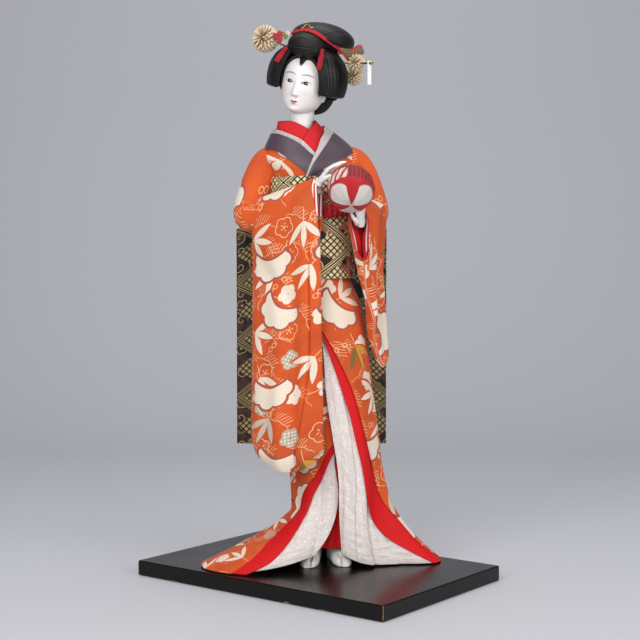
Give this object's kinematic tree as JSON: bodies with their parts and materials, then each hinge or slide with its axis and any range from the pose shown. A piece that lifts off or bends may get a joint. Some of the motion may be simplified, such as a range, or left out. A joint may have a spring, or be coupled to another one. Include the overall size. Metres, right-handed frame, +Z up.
{
  "type": "oyama doll",
  "caption": "Standing doll in a trailing kimono and wide obi, holding a thread ball on a lacquered board; its head turns and its hairpins pull out.",
  "frame": {"origin": "middle of the board's underside, on the surface that the doll stands on", "axes": "+Z up, -Y towards the board's long front edge, +X to the right seen from the front"},
  "size_m": [0.3, 0.2, 0.5525],
  "materials": {
    "lacquer": "black lacquer, satin gloss",
    "wire": "bare steel wire",
    "tabi": "white cotton split-toe socks",
    "peg_wood": "bare wood",
    "body_straw": "bound straw and paper",
    "arm_paper": "wire wound with paper",
    "skin": "white shell-paint over wood composition",
    "eye_glass": "dark glass",
    "hair": "black silk strands, soft sheen",
    "kimono": "orange crepe with a pine, bamboo and plum pattern",
    "red_cloth": "red crepe",
    "white_cloth": "white ribbed crepe",
    "inner_collar": "red crepe",
    "outer_collar": "mauve satin",
    "brocade": "black brocade with gold",
    "ball_thread": "wound red and white thread",
    "gilt": "gilt wire",
    "petals": "beige narrow petals",
    "silver": "bright silvered strip"
  },
  "bodies": {
    "stand": {"base_board": "lacquer", "right_leg_wire": "wire", "left_leg_wire": "wire", "right_foot": "tabi", "left_foot": "tabi", "right_leg": "peg_wood", "left_leg": "peg_wood", "lower_core": "body_straw", "chest_core": "body_straw", "right_arm": "arm_paper", "left_arm": "arm_paper", "right_hand": "skin", "left_hand": "skin", "thread_ball": "ball_thread", "red_underskirt": "red_cloth", "white_underskirt": "white_cloth", "kimono_lining": "red_cloth", "kimono_skirt": "kimono", "kimono_bodice": "kimono", "right_sleeve": "kimono", "left_sleeve": "kimono", "right_sleeve_lining": "red_cloth", "left_sleeve_lining": "red_cloth", "inner_collar": "inner_collar", "middle_collar": "white_cloth", "outer_collar": "outer_collar", "obi_band": "brocade", "obi_cord": "red_cloth", "obi_knot": "brocade", "right_obi_tail": "brocade", "left_obi_tail": "brocade"},
    "head": {"neck_peg": "peg_wood", "head": "skin", "right_eye": "eye_glass", "left_eye": "eye_glass", "wig_cap": "hair", "front_hair": "hair", "right_side_hair": "hair", "left_side_hair": "hair", "back_hair": "hair", "nape_hair": "hair", "topknot": "hair", "ribbon_band": "red_cloth", "ribbon_loop": "red_cloth", "gold_cord": "gilt"},
    "right_hairpin": {"right_pin": "gilt", "right_flower": "petals", "right_buds": "red_cloth"},
    "left_hairpin": {"left_pin": "gilt", "left_upper_flower": "petals", "left_lower_flower": "petals"},
    "silver_strip": {"silver_strip": "silver"},
    "right_tassel": {"right_tassel": "red_cloth"},
    "left_tassel": {"left_tassel": "red_cloth"}
  },
  "joints": [
    {"name": "head_turn", "type": "hinge", "parent": "stand", "child": "head", "pos_m": [-0.01899, -0.00071, 0.455], "axis": [0, 0, 1], "range_deg": [-20, 20]},
    {"name": "right_hairpin_pull", "type": "slide", "parent": "head", "child": "right_hairpin", "axis": [-0.7475, -0.5797, 0.3245], "range_m": [0, 0.025]},
    {"name": "left_hairpin_pull", "type": "slide", "parent": "head", "child": "left_hairpin", "axis": [0.8703, 0.4888, -0.0607], "range_m": [0, 0.025]},
    {"name": "silver_strip_swing", "type": "hinge", "parent": "left_hairpin", "child": "silver_strip", "pos_m": [0.04291, 0.02789, 0.50895], "axis": [0.9841, -0.1574, -0.0829], "range_deg": [-35, 35]},
    {"name": "right_tassel_swing", "type": "hinge", "parent": "head", "child": "right_tassel", "pos_m": [-0.01681, -0.02752, 0.52293], "axis": [-0.7702, -0.2923, 0.5669], "range_deg": [0, 35]},
    {"name": "left_tassel_swing", "type": "hinge", "parent": "head", "child": "left_tassel", "pos_m": [0.01778, -0.01425, 0.51939], "axis": [-0.9459, -0.3063, 0.1072], "range_deg": [0, 35]}
  ]
}
